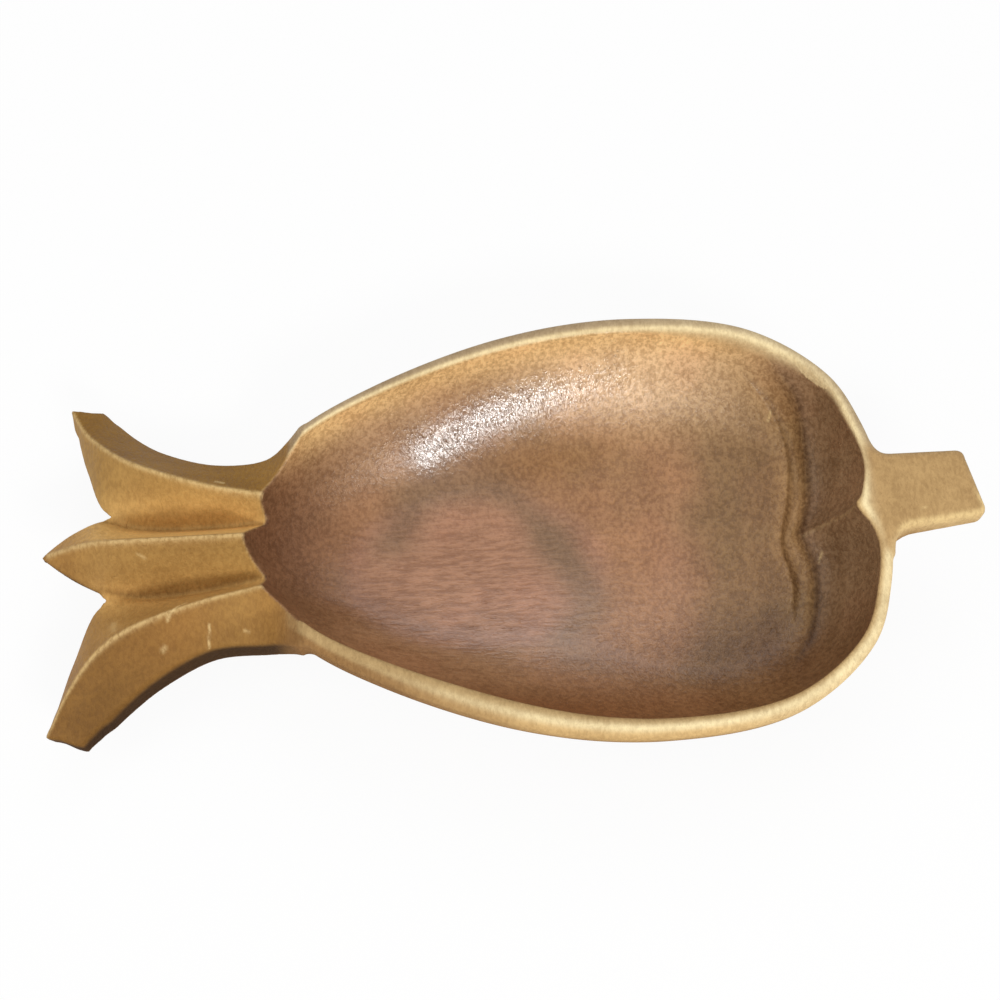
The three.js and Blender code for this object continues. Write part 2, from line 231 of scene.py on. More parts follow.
# Stations of the leaves' pleats: a share of the crown's length from the cavity, then for each
# line a share of the spread and a share of its depth below the rim
STATIONS = [
    (1.11, (0, 0.8), (0.26, 1.0), (1.06, 1.0), (1.16, 0.83), (1.25, 0.95)),
    (0.95, (0, 0.44), (0.24, 0.84), (0.9, 0.9), (0.98, 0.76), (1.07, 0.88)),
    (0.845, (0, 0.24), (0.232, 0.7), (0.587, 0.77), (0.783, 0.56), (1.03, 0.95)),
    (0.72, (0, 0.1), (0.212, 0.6), (0.29, 0.62), (0.623, 0.33), (0.917, 1.02)),
    (0.604, (0, 0.05), (0.206, 0.9), (0.275, 0.62), (0.522, 0.23), (0.793, 0.98)),
    (0.46, (0, 0.04), (0.203, 1.03), (0.254, 0.7), (0.443, 0.2), (0.674, 0.88)),
    (0.19, (0, 0.04), (0.188, 0.96), (0.222, 0.69), (0.338, 0.22), (0.549, 0.68)),
    (-0.07, (0, 0.03), (0.16, 0.7), (0.183, 0.6), (0.272, 0.23), (0.551, 0.57)),
    (-0.19, (0, 0.01), (0.152, 0.48), (0.174, 0.34), (0.243, 0.17), (0.594, 0.29)),
    (-0.29, (0, 0), (0.145, 0), (0.167, 0), (0.225, 0), (0.645, 0)),
]
PLEATS = ["crest", "valley", "inner", "ridge", "outer"]


def pleat_curves():
    """Each line of the pleats as points whose x grows from the tips to the bowl."""
    curves = {}
    for column, name in enumerate(PLEATS):
        depth = VALLEY_DEPTH if name in ("crest", "valley") else LEAF_DROP
        places = []
        for along, *line_places in STATIONS:
            aside, down = line_places[column]
            x = CAVITY_START - along * CROWN_LENGTH
            places.append((x, aside * LEAF_SPREAD, RIM_HEIGHT - down * depth))
        curves[name] = smooth_curve(places)
    return curves


PLEAT = pleat_curves()


def pleat_at(name, x):
    """Distance from the middle and height of a pleat's line at x."""
    line = PLEAT[name]
    return np.interp(x, line[:, 0], line[:, 1]), np.interp(x, line[:, 0], line[:, 2])


def leaf_height(x, y):
    """Height of the leaves' pleated top."""
    places = [pleat_at(name, x) for name in PLEATS]
    north_edge = OUTER_LIFT * bell(x, OUTER_LIFT_X, OUTER_LIFT_REACH) * (y > 0)
    places[-1] = (places[-1][0], places[-1][1] + north_edge)
    height = places[0][1]
    out = np.abs(y)
    for (y0, z0), (y1, z1) in zip(places[:-1], places[1:]):
        height = np.where(out > y0, mix(z0, z1, (out - y0) / (y1 - y0)), height)
    return height


def worn_leaf_height(x, y):
    """The same with the ridges worn and the valleys rounded by the gouge."""
    valley_y, _ = pleat_at("valley", x)
    wear = RIDGE_WEAR + VALLEY_WEAR * bell(np.abs(y), valley_y, VALLEY_WEAR_REACH)
    weights = np.array([1, 3, 4, 3, 1]) / 12
    shares = np.linspace(-1, 1, len(weights))
    return sum(w * leaf_height(x, y + s * wear) for s, w in zip(shares, weights))


def underside_height(x, y):
    """Height of the crown's underside."""
    along = np.clip((CAVITY_START - x) / CROWN_LENGTH, 0, 1.2)
    middle = mix(UNDERSIDE_AT_NECK, UNDERSIDE_AT_TIP, along**1.5)
    outer_y, outer_z = pleat_at("outer", x)
    edge = outer_z - EDGE_THICKNESS * mix(*EDGE_SHARES, np.minimum(along, 1) ** 3)
    return mix(middle, edge, (y / outer_y) ** 2)


def quadratic(a, b, c, steps):
    """Points of a quadratic Bezier curve, without its last."""
    t = np.linspace(0, 1, steps, endpoint=False)[:, None]
    a, b, c = (np.array(p, float) for p in (a, b, c))
    return (1 - t) ** 2 * a + 2 * t * (1 - t) * b + t**2 * c


def crown_outline():
    """The crown seen from above, as rows of x, y, height and how far it is thinned below."""
    rows = []
    back_x = CAVITY_START + CROWN_BURIED * CROWN_LENGTH
    join_x = CAVITY_START + EDGE_BURIED * CROWN_LENGTH
    outer_x = TIP_X + LEAF_CORNER * CROWN_LENGTH
    notch_x = CAVITY_START - STATIONS[3][0] * CROWN_LENGTH
    rows.append((back_x, LEAF_SPREAD / 2, RIM_HEIGHT, 0))
    for x in np.linspace(join_x, outer_x, CURVE_STEPS["outer edge"], endpoint=False):
        rows.append((x, *pleat_at("outer", x), 0))
    rows.append((outer_x, LEAF_SPREAD, pleat_at("outer", outer_x)[1], 0))
    tip_z = RIM_HEIGHT - STATIONS[1][4][1] * LEAF_DROP
    inner = (outer_x - LEAF_END_WIDTH, LEAF_SPREAD - LEAF_END_SKEW, tip_z, 0.3)
    rows.append(inner)
    for share in np.linspace(0, 1, CURVE_STEPS["inner edge"])[1:]:
        x = mix(inner[0], notch_x, share)
        y, z = pleat_at("inner", x)
        widest = mix(inner[1], y, min(1, 3 * share))
        rows.append((x, min(y, widest), z, 1))
    valley_y, valley_z = pleat_at("valley", notch_x)
    rows.append((notch_x + LEAF_EDGE, mix(rows[-1][1], valley_y, 0.5), valley_z, 1))
    tip = (TIP_X, 0, RIM_HEIGHT - TIP_DROP * VALLEY_DEPTH)
    along, aside, down = TIP_BULGE
    bulge = (mix(notch_x, TIP_X, along), aside * LEAF_SPREAD, mix(valley_z, tip[2], down))
    for point in quadratic((notch_x, valley_y, valley_z), bulge, tip, CURVE_STEPS["tip"]):
        rows.append((*point, 1))
    north = np.array(rows, float)
    south = north[::-1] * (1, -1, 1, 1)
    return np.concatenate([north, [(*tip, 0)], south])


def stem_outline():
    """The stem seen from above, as rows of x and y."""
    buried_x = CAVITY_END - STEM_CORNER
    corner_x = STEM_END_X - STEM_END_SKEW
    north = STEM_OFFSET + STEM_HALF_WIDTH + STEM_EXTRA["north"]
    south = STEM_OFFSET - STEM_HALF_WIDTH - STEM_EXTRA["south"]
    north_end = north - STEM_TAPER / 4
    south_end = south + STEM_TAPER
    root, end, cut = STEM_ROOT_X, STEM_END_X, STEM_CORNER
    corners = [
        ((root, south - STEM_ROOT_SPREAD), (root + STEM_ROOT_LENGTH / 6, south),
         (root + STEM_ROOT_LENGTH, south)),
        ((end - cut, south_end), (end, south_end), (end, south_end + cut)),
        ((corner_x, north_end - cut), (corner_x, north_end), (corner_x - cut, north_end)),
        ((root + STEM_ROOT_LENGTH / 2, north), (root, north),
         (buried_x, north + STEM_ROOT_SPREAD)),
    ]
    rows = [(buried_x, south - STEM_ROOT_SPREAD)]
    for corner in corners:
        rows.extend(quadratic(*corner, CURVE_STEPS["corner"]))
        rows.append(corner[-1])
    return np.array(rows)


def outline_distance(x, y, outline, extra):
    """Signed distance to a closed outline, and extra's values at the nearest point of it."""
    nearest = np.full(x.shape, FAR)
    value = np.zeros((*x.shape, extra.shape[1]))
    inside = np.zeros(x.shape, bool)
    for i in range(len(outline)):
        (ax, ay), (bx, by) = outline[i - 1], outline[i]
        ex, ey = bx - ax, by - ay
        share = np.clip(((x - ax) * ex + (y - ay) * ey) / (ex * ex + ey * ey + 1e-12), 0, 1)
        away = np.hypot(x - ax - share * ex, y - ay - share * ey)
        nearer = away < nearest
        nearest = np.where(nearer, away, nearest)
        value = np.where(nearer[..., None], mix(extra[i - 1], extra[i], share[..., None]), value)
        if ay != by:
            inside ^= ((ay > y) != (by > y)) & (x < ex * (y - ay) / ey + ax)
    return np.where(inside, -nearest, nearest), value


CROWN_OUTLINE = crown_outline()
STEM_OUTLINE = stem_outline()

# Two low edges that the gouge left across the cavity below the stem, as rows of y and x: the
# foot of the steep wall and the edge of the floor. A shallow channel runs beside each.
FOOT_EDGE = [(-55, 102.5), (-42, 112), (-33, 116), (-19, 119), (-9, 119), (-2, 117), (3, 116.2),
             (9, 118.4), (17, 121), (30, 121.8), (40, 121.4), (50, 119.8), (57, 116.5), (68, 106)]
FLOOR_EDGE = [(-40, 107), (-19, 110.8), (-13, 110.4), (0, 108.7), (19, 113.6), (34, 115.5),
              (44, 114.6), (52, 111.6), (60, 106.5), (70, 96)]
FOOT_CURVE = smooth_curve(FOOT_EDGE)
FLOOR_CURVE = smooth_curve(FLOOR_EDGE)
CHANNEL_DEPTH = {"floor": 1.8, "foot": 1.4}
FOOT_CHANNEL_WIDTH = 10.0
FLOOR_CHANNEL_SOUTH = (-42, -16)  # places along y over which the floor's channel begins
CHANNELS_MIDDLE = 8.0
CHANNELS_END = (48, 66)  # distances from that middle over which both channels end

# The ridge that runs down the wall from the heart's point
RIDGE_TOP = (132.0, -2.0)
RIDGE_FOOT = (117.0, 2.0)
RIDGE_BOW = 3.5
RIDGE_HEIGHT = 1.5
RIDGE_HALF_WIDTH = 5.5
RIDGE_START = (-0.4, 0.1)  # shares of the way down over which it begins
RIDGE_END = (0.8, 1.5)


def columns(x, y):
    """What the laws need to know about each place on the plan."""
    angle = np.arctan2(y, x - CENTRE_X)
    lengthwise = np.cos(angle)
    turn = np.where(angle < RIM_ANGLE[0], angle + 2 * np.pi, angle)
    inner = np.interp(turn, RIM_ANGLE, RIM_RADIUS)
    slant = np.hypot(1, np.interp(turn, RIM_ANGLE, RIM_SLOPE))
    c = {"x": x, "y": y, "angle": angle, "radius": np.hypot(x - CENTRE_X, y), "slant": slant}
    c["rim_width"] = around_bowl(RIM_WIDTH, lengthwise)
    c["wall_run"] = around_bowl(WALL_RUN, lengthwise)
    c["foot_inset"] = around_bowl(FOOT_INSET, lengthwise)
    c["outer"] = inner + c["rim_width"] * slant
    off_facet = (np.degrees(angle) - FACET_ANGLE + 180) % 360 - 180
    facet = FACET_EXTRA * bell(off_facet, 0, FACET_SPREAD) * smoothstep(-y, *FACET_START)
    c["inner"] = inner - facet
    c["foot_edge"] = np.interp(y, FOOT_CURVE[:, 0], FOOT_CURVE[:, 1])
    c["floor_edge"] = np.interp(y, FLOOR_CURVE[:, 0], FLOOR_CURVE[:, 1])

    for name in ("crown", "crown_z", "leaf", "stem"):
        c[name] = np.full(x.shape, FAR)
    c["thin"], c["under"] = np.zeros(x.shape), np.zeros(x.shape)
    c["leaf_slant"] = np.ones(x.shape)
    k = x < CAVITY_START + CROWN_REGION * CROWN_LENGTH
    kx, ky = x[k], y[k]
    c["crown"][k], extra = outline_distance(kx, ky, CROWN_OUTLINE[:, :2], CROWN_OUTLINE[:, 2:])
    c["crown_z"][k], c["thin"][k] = extra[:, 0], extra[:, 1]
    c["under"][k] = underside_height(kx, ky)
    c["leaf"][k] = worn_leaf_height(kx, ky)
    rise_x = leaf_height(kx + 1, ky) - leaf_height(kx - 1, ky)
    rise_y = leaf_height(kx, ky + 1) - leaf_height(kx, ky - 1)
    c["leaf_slant"][k] = np.sqrt(1 + (rise_x / 2) ** 2 + (rise_y / 2) ** 2)
    at_ends = smoothstep(-x, *END_REGION[0]) * smoothstep(np.abs(y), *END_REGION[1])
    c["rough_end"] = END_ROUGHNESS * at_ends * wander(x, y, END_GRAIN, 2)
    k = x > CAVITY_END - STEM_REGION
    no_extra = np.zeros((len(STEM_OUTLINE), 1))
    c["stem"][k], _ = outline_distance(x[k], y[k], STEM_OUTLINE, no_extra)
    return c


def wall_distance(side, down, run, depth, slant):
    """Distance to an elliptical wall from a place's shares of its run and of its depth."""
    reach = np.maximum(np.hypot(side, down), 1e-6)
    steep = np.hypot(side / reach * slant / run, down / reach / depth)
    return (reach - 1) / np.maximum(steep, 1e-4)


def cavity_distance(c, z):
    """Distance to the cavity's surface, negative in the air above it."""
    run = (c["inner"] - c["radius"]) / c["wall_run"]
    half_length, half_width = DISH_HALF_SIZE
    off_middle = np.hypot((c["x"] - CENTRE_X + DISH_OFFSET) / half_length, c["y"] / half_width)
    dish = FLOOR_DISH * (1 - smoothstep(off_middle, 0, 1))
    depth = CAVITY_DEPTH - FLOOR_DISH + dish
    side = np.clip(1 - run, 0, None)
    down = np.clip((RIM_HEIGHT - z) / depth, 0, None)
    return wall_distance(side, down, c["wall_run"], depth, c["slant"]) + gouge_marks(c)


def hump(share):
    """A parabola that is 1 at a share of 0.5 and stays 0 outside 0 to 1."""
    return np.clip(4 * share * (1 - share), 0, None)


def off_ridge(x, y):
    """How far down the heart's ridge a place lies, as a share, and how far to the north of it."""
    down = (RIDGE_TOP[0] - x) / (RIDGE_TOP[0] - RIDGE_FOOT[0])
    return down, y - mix(RIDGE_TOP[1], RIDGE_FOOT[1], down) - RIDGE_BOW * hump(down)


def gouge_marks(c):
    """How far the channels and the heart's ridge move the cavity's surface into the air."""
    x, y = c["x"], c["y"]
    between = (x - c["floor_edge"]) / (c["foot_edge"] - c["floor_edge"])
    beyond = (x - c["foot_edge"]) / FOOT_CHANNEL_WIDTH
    floor_channel = CHANNEL_DEPTH["floor"] * hump(between) * smoothstep(y, *FLOOR_CHANNEL_SOUTH)
    foot_channel = CHANNEL_DEPTH["foot"] * hump(beyond)
    fade = 1 - smoothstep(np.abs(y - CHANNELS_MIDDLE), *CHANNELS_END)
    down, aside = off_ridge(x, y)
    ridge = np.clip(1 - np.abs(aside) / RIDGE_HALF_WIDTH, 0, 1)
    ridge = ridge * (1 - smoothstep(down, *RIDGE_END)) * smoothstep(down, *RIDGE_START)
    return RIDGE_HEIGHT * ridge - fade * (floor_channel + foot_channel)


def hull_distance(c, z):
    """Distance to the outside of the bowl, negative in the wood."""
    side = np.clip(1 - (c["outer"] - c["radius"]) / c["foot_inset"], 0, None)
    up = np.clip(1 - z / RIM_HEIGHT, 0, None)
    return wall_distance(side, up, c["foot_inset"], RIM_HEIGHT, c["slant"])


def along_stem(x):
    """How far from its root to its end a place on the stem lies, as a share."""
    return (x - STEM_ROOT_X) / (STEM_END_X - STEM_ROOT_X)


def stem_distance(c, z):
    """Distance to the stem's blank, negative in the wood."""
    along = along_stem(c["x"])
    rise = STEM_RISE * np.clip(along, -0.2, 1.2)
    thickness = mix(STEM_THICKNESS, STEM_END_THICKNESS, np.clip(along, 0, 1))
    at_root = 1 - smoothstep(c["x"], STEM_ROOT_X - 2, STEM_ROOT_X + STEM_ROOT_LENGTH)
    under = RIM_HEIGHT + rise - thickness - STEM_ROOT_DEPTH * at_root
    return soft_max(c["stem"], under - z, ROUNDING["stem below"])


def top_height(c):
    """Height of the rim's plane, which rises a little along the stem."""
    return RIM_HEIGHT + STEM_RISE * np.clip(along_stem(c["x"]), 0, 1.1)


def wood_distance(c, z):
    """Distance to the whole carving's surface, negative in the wood."""
    below = np.clip((c["crown_z"] - LEAF_EDGE - z) / (UNDERCUT_HEIGHT - LEAF_EDGE), 0, 1)
    crown_side = c["crown"] + c["rough_end"] + c["thin"] * UNDERCUT * below
    crown = soft_max(crown_side, c["under"] - z, ROUNDING["crown below"])
    blank = soft_min(hull_distance(c, z), crown, ROUNDING["crown and bowl"])
    blank = soft_min(blank, stem_distance(c, z), ROUNDING["stem and bowl"])
    near_stem = smoothstep(c["x"], CAVITY_END - 6, CAVITY_END + 12)
    top_edge = mix(RIM_ROUNDING["outside"] * c["rim_width"], ROUNDING["stem above"], near_stem)
    wood = soft_max(blank, z - top_height(c), top_edge)
    wood = soft_max(wood, (z - c["leaf"]) / c["leaf_slant"], ROUNDING["leaves above"])
    return soft_max(wood, -cavity_distance(c, z), RIM_ROUNDING["inside"] * c["rim_width"])


def sample_grid():
    """The distance on an even grid round the carving."""
    low = np.array([node_low[i] / M for i in range(3)]) - MARGIN
    high = np.array([node_high[i] / M for i in range(3)]) + MARGIN
    axes = [np.arange(low[i], high[i] + CELL, CELL) for i in range(3)]
    x, y = np.meshgrid(axes[0], axes[1], indexing="ij")
    c = columns(x, y)
    values = np.empty((*x.shape, len(axes[2])), np.float32)
    for i, z in enumerate(axes[2]):
        values[:, :, i] = wood_distance(c, z)
    return low, values


def surface_mesh(low, values):
    """Points and four-sided faces over the surface where the grid's values change sign."""
    inside = values < 0
    corners = list(np.ndindex(2, 2, 2))
    n = np.array(values.shape) - 1
    count = np.zeros(n, np.uint8)
    for i, j, k in corners:
        count += inside[i:i + n[0], j:j + n[1], k:k + n[2]]
    active = (count > 0) & (count < 8)
    cell = np.argwhere(active)
    number = np.full(n, -1, np.int32)
    number[active] = np.arange(len(cell))

    place = np.zeros((len(cell), 3))
    crossings = np.zeros(len(cell))
    for a in corners:
        for axis in range(3):
            if a[axis]:
                continue
            b = list(a)
            b[axis] = 1
            fa = values[tuple((cell + a).T)]
            fb = values[tuple((cell + b).T)]
            cross = (fa < 0) != (fb < 0)
            share = np.where(cross, fa / np.where(cross, fa - fb, 1), 0)
            at = np.array(a, float) + share[:, None] * (np.array(b) - a)
            place += cross[:, None] * at
            crossings += cross
    points = low + CELL * (cell + place / crossings[:, None])

    faces = []
    for axis in range(3):
        edge = np.argwhere(np.diff(inside, axis=axis))
        u, v = np.eye(3, dtype=int)[[(axis + 1) % 3, (axis + 2) % 3]]
        quad = np.stack([number[tuple((edge - step).T)] for step in (0 * u, u, u + v, v)], axis=1)
        flip = inside[tuple(edge.T)]
        quad[~flip] = quad[~flip, ::-1]
        faces.append(quad)
    return points, np.concatenate(faces)


def settle(points):
    """Moves the points onto the surface along the distance's gradient."""
    step = 0.25
    least_slope = 0.05
    x, y, z = points.T
    here = columns(x, y)
    gradient = np.stack([
        wood_distance(columns(x + step, y), z) - wood_distance(columns(x - step, y), z),
        wood_distance(columns(x, y + step), z) - wood_distance(columns(x, y - step), z),
        wood_distance(here, z + step) - wood_distance(here, z - step),
    ], axis=1) / (2 * step)
    length = np.maximum((gradient**2).sum(axis=1), least_slope)
    move = np.clip(wood_distance(here, z) / length, -CELL, CELL)
    return points - gradient * move[:, None]


points, faces = surface_mesh(*sample_grid())
points = settle(points)
mesh = bpy.data.meshes.new("carved_surface")
mesh.from_pydata((points * M).tolist(), [], faces.tolist())
mesh.shade_smooth()


# Colours of the wood, as shares of red, green and blue light that it sends back. A few of them
# stand in for light and shade, as noted beside them
HONEY = (0.40, 0.215, 0.062)
SOUTH_HONEY = (0.34, 0.165, 0.040)
LEAF_GOLD = (0.42, 0.24, 0.068)
# Painted light: a pale gold that lifts the crests' cast shadow in the valleys and the middle leaf's
# north face
VALLEY_PAINTED_LIGHT = (0.72, 0.43, 0.14)
# Painted shade for the south leaf's outer face
SOUTH_LEAF_PAINTED_SHADE = (0.22, 0.105, 0.024)
OLIVE = (0.25, 0.122, 0.018)
# Painted shade: near black for the south leaf's undercut side, which faces down
UNDERCUT_PAINTED_SHADE = (0.035, 0.016, 0.006)
STEM_GOLD = (0.48, 0.30, 0.125)
UNDER_BROWN = (0.20, 0.10, 0.035)
OUTER_BROWN = (0.37, 0.205, 0.075)
# Partly worn wood and partly a painted highlight on the rim's crest and its lit south-east edge
RIM_CREAM_AND_HIGHLIGHT = (0.92, 0.75, 0.43)
RIM_TAN = (0.47, 0.31, 0.135)
RIM_ORANGE = (0.62, 0.40, 0.165)
RIM_GREY = (0.42, 0.30, 0.17)
RIM_BROWN = (0.27, 0.135, 0.045)
WORN_PALE = (0.80, 0.58, 0.27)

RED_BROWN = (0.36, 0.180, 0.098)
WARM_BROWN = (0.34, 0.172, 0.076)
ARC_GREY = (0.205, 0.122, 0.062)
LOBE_OLIVE = (0.245, 0.138, 0.056)
SHELF_OLIVE = (0.35, 0.205, 0.082)
WALL_BROWN = (0.27, 0.158, 0.078)
# Painted light: a bright gold for the north wall just below the rim and the rim's inner half on the
# north, which face the window
WALL_GOLD_PAINTED_LIGHT = (0.94, 0.61, 0.26)
# Painted with the highlight: a darker, bluish base along the window's reflection, so that the
# reflection reads white
HIGHLIGHT_PAINTED_BASE = (0.22, 0.125, 0.085)

# Lighter and darker places inside the cavity: centre, reach, colour and strength. The second and
# the third are painted light on the north wall, which faces the window
PATCHES_AND_PAINTED_LIGHT = [
    ((-96, 4), (32, 46), (0.14, 0.062, 0.028), 0.85),
    ((-40, 54), (44, 22), (0.54, 0.34, 0.20), 0.7),
    ((46, 78), (58, 23), (0.92, 0.62, 0.35), 1.0),
    ((18, 42), (46, 16), (0.27, 0.138, 0.048), 0.9),
    ((112, -54), (36, 24), (0.155, 0.073, 0.028), 0.85),
    ((10, -70), (95, 15), (0.20, 0.080, 0.025), 0.85),
]

# Pale scratches and nicks: both ends on the plan, width and strength
SCRATCHES = [
    ((-128.3, -30.0), (-124.6, -24.5), 0.45, 0.8),
    ((-124.6, -24.5), (-122.0, -22.6), 0.45, 0.7),
    ((-113.6, -30.6), (-115.0, -38.5), 0.35, 0.8),
    ((-131.5, -38.5), (-130.5, -37.5), 0.7, 0.6),
    ((-101.0, -33.0), (-99.5, -33.6), 0.5, 0.5),
    ((-140.0, -3.5), (-137.5, -4.5), 0.4, 0.5),
    ((-112.0, 26.0), (-109.0, 25.2), 0.5, 0.6),
    ((153.5, -5.0), (155.5, -4.4), 0.5, 0.6),
    ((109.5, 52.0), (110.3, 54.5), 0.5, 0.7),
    ((122.0, -9.5), (123.2, -6.5), 0.45, 0.5),
    ((-149.0, -29.0), (-148.0, -32.0), 1.4, 0.3),
]

# Where the window shines off the north wall, as places in plan
HIGHLIGHT = [(-32, 45), (-19, 52), (0, 60), (18, 66), (33, 69.5), (48, 74)]

# The dark band of the growth rings on the floor, as places in plan
RING_ARC = [(-46, 10), (-36, 28), (-16, 33), (2, 26), (16, 8), (27, -9), (29, -22), (19, -33)]

# Ovals on the cavity's floor: centre and half size
RED_OVAL = ((-14, -4), (58, 38))
STREAKY_OVAL = ((-18, -14), (62, 40))
SHEEN_OVAL = ((8, -36), (72, 24))

# A redder spot on the floor below the heart's point: centre and reach
RED_SPOT = ((66, -8), (10, 22))

# Spans over which a tone or a mark begins or ends
SPANS = {
    # places along x
    "leaf ends": (-172, -150),
    "south leaf": (-165, -118),
    "mid crown": (-125, -100),
    "leaf roots": (CAVITY_START - 8, CAVITY_START + 22),
    "crown to cavity": (CAVITY_START + 2, CAVITY_START + 26),
    "crown to bowl": (CAVITY_START + 8, CAVITY_START + 30),
    "neck": (CAVITY_START + 8, CAVITY_START + 22),
    "start of the rim": (CAVITY_START + 14, CAVITY_START + 17),
    "west rim": (-70, 30),
    "west": (-60, 20),
    "bands": (20, 60),
    "east rim": (60, 120),
    "north wall's end": (82, 112),
    "start of the stem": (CAVITY_END - 4, CAVITY_END + 4),
    "end of the rim": (CAVITY_END - 3, CAVITY_END + 4),
    "worn stem": (CAVITY_END + 5, CAVITY_END + 11),
    # places along y, or distances from the middle
    "valleys": (-40, -6),
    "floor channel": (-42, -12),
    "rim": (-25, 25),
    "middle leaf": (0.5, 3),
    "middle leaf's sides": (8, 14),
    "side leaf": (8, 16),
    "south": (10, 40),
    "north wall": (20, 45),
    "channels": (46, 66),
    # depths below the rim
    "rim to hull": (2, 13),
    "neck's side": (1.8, 4.0),
    "worn stem's side": (1, 4),
    "stem": (4, 12),
    "underside": (6, 16),
    # upward parts of the surface's direction
    "facing down": (-0.25, 0.05),
    "steep outside": (0.1, 0.5),
    "steep edge": (0.3, 0.75),
    # distances from the cavity's surface
    "on the cavity": (0.25, 1.0),
    "by the cavity": (0.3, 1.2),
    # distances from an edge or a ridge
    "lobe": (-50, -28),
    "shelf": (-8, 2),
    "floor's edge": (-0.6, 0.8),
    "wall": (-1, 2),
    "outer face": (-0.5, 1.5),
    "far outer face": (6, 14),
    "dark edge": (-0.6, 4.5),
}
LEAVES_END_X = CAVITY_START + 20

# Directions round from the stem, with their reach, in degrees: where the rim is pale and where
# the edge of the cavity's colour is blurred
PALE_RIM = (40, 26)
BLURRED_LIP = (44, 20)

# The cavity's colour begins this far below the rim, and further in the south-west
LIP_DEPTH = 0.9
LIP_DEPTH_EXTRA = 1.4
LIP_BLUR = 0.7
LIP_BLUR_EXTRA = 10.0

# The rim's pale crest, partly wear and partly a painted highlight: its place and width as shares of
# the rim's width, and its strength
CREST_PLACE = {"south": 0.56, "north": 0.14}
CREST_WIDTH = {"south": 0.20, "north": 0.15, "east": 0.14}
CREST_STRENGTH = 0.9

# Lines of wear, of dirt with painted shade in the creases, of painted light and of gloss: strength,
# and the line's middle and reach across it
MARKS = {
    "leaf ridge": (0.65, 0, 1.1),
    "stem's south edge": (1.0, -1.0, 1.4),
    # Painted light and painted shade on the two sides of the heart's ridge
    "heart's ridge, lit": (0.15, -0.6, 0.8),
    "heart's ridge, shaded": (0.2, 1, 9),
    "valley": (0.45, -0.4, 1.1),
    "floor channel": (0.6, 0.6, 3.2),
    "foot": (0.7, 0.3, 1.8),
    "foot channel": (0.25, 1, 5),
    "below the lip": (0.3, 0.9, 0.5),
    "highlight": (1.0, 0, 4.8),
    "round the highlight": (0.12, 0, 16),
    "chatter": (1.0, 0, 9),
}
LIP_WEAR = 0.65
GLOSS = 0.05
SHEEN = 0.14


def starts(value, name):
    """A share that rises from 0 to 1 over a named span."""
    return smoothstep(value, *SPANS[name])


def ends(value, name):
    """A share that falls from 1 to 0 over a named span."""
    return 1 - smoothstep(value, *SPANS[name])


def mark(name, across):
    """The strength of a line of wear, of dirt and painted shade, of painted light or of gloss at a
    distance across it.
    """
    strength, middle, reach = MARKS[name]
    return strength * bell(across, middle, reach)


def off_oval(c, oval):
    """Distance from an oval's centre, 1 at its edge."""
    (centre_x, centre_y), (half_length, half_width) = oval
    return np.hypot((c["x"] - centre_x) / half_length, (c["y"] - centre_y) / half_width)


def spot(c, centre, reach):
    """A share that is 1 at a centre on the plan and fades over a reach along x and along y."""
    return bell(c["x"], centre[0], reach[0]) * bell(c["y"], centre[1], reach[1])


def curve_distance(x, y, points):
    """Distance to a curve on the plan, and how far along it the nearest place lies."""
    curve = smooth_curve(points, 8)
    nearest = np.full(x.shape, FAR)
    along = np.zeros(x.shape)
    for i, (px, py) in enumerate(curve):
        away = np.hypot(x - px, y - py)
        along = np.where(away < nearest, i / len(curve), along)
        nearest = np.minimum(nearest, away)
    return nearest, along


def segment_distance(x, y, start, end):
    (ax, ay), (bx, by) = start, end
    ex, ey = bx - ax, by - ay
    share = np.clip(((x - ax) * ex + (y - ay) * ey) / (ex * ex + ey * ey), 0, 1)
    return np.hypot(x - ax - share * ex, y - ay - share * ey)


def tint(colours, colour, share):
    """Mixes a colour into the rows of colours by each row's share."""
    return mix(colours, np.array(colour), np.clip(share, 0, 1)[:, None])


def cavity_tones(c):
    """Colours inside the cavity."""
    x, y = c["x"], c["y"]
    drift = wander(x, y, 40, 5)
    from_floor_edge = x - c["floor_edge"]
    on_lobe = starts(from_floor_edge + 5 * drift, "lobe") * smoothstep(c["radius"], 20, 40)
    tones = np.tile(RED_BROWN, (len(x), 1))
    tones = tint(tones, WARM_BROWN, smoothstep(off_oval(c, RED_OVAL), 0.8, 1.0))
    tones = tint(tones, LOBE_OLIVE, on_lobe)
    tones = tint(tones, SHELF_OLIVE, starts(from_floor_edge, "shelf"))
    tones = tint(tones, RED_BROWN, 0.4 * spot(c, *RED_SPOT))
    tones = tint(tones, WALL_BROWN, starts(x - c["foot_edge"], "wall"))
    for centre, reach, colour, strength in PATCHES_AND_PAINTED_LIGHT:
        tones = tint(tones, colour, strength * spot(c, centre, reach))
    away, along = curve_distance(x, y, RING_ARC)
    arc = bell(away + 2 * drift, 0, 9) * mix(0.75, 1, bell(along, 0.6, 0.3))
    tones = tint(tones, ARC_GREY, 0.85 * arc)
    # A darker, bluish base painted along the window's reflection on the north wall, part of a
    # painted highlight
    shine = bell(c["off_highlight"], 0, 8) * (1 - smoothstep(c["along_highlight"], 0.35, 0.75))
    tones = tint(tones, HIGHLIGHT_PAINTED_BASE, 0.55 * shine)
    # Painted light on the north wall just below the rim, which faces the window
    on_north_wall = starts(y, "north wall") * ends(x, "north wall's end")
    return tint(tones, WALL_GOLD_PAINTED_LIGHT, 0.9 * on_north_wall * bell(c["below"], 3, 11))


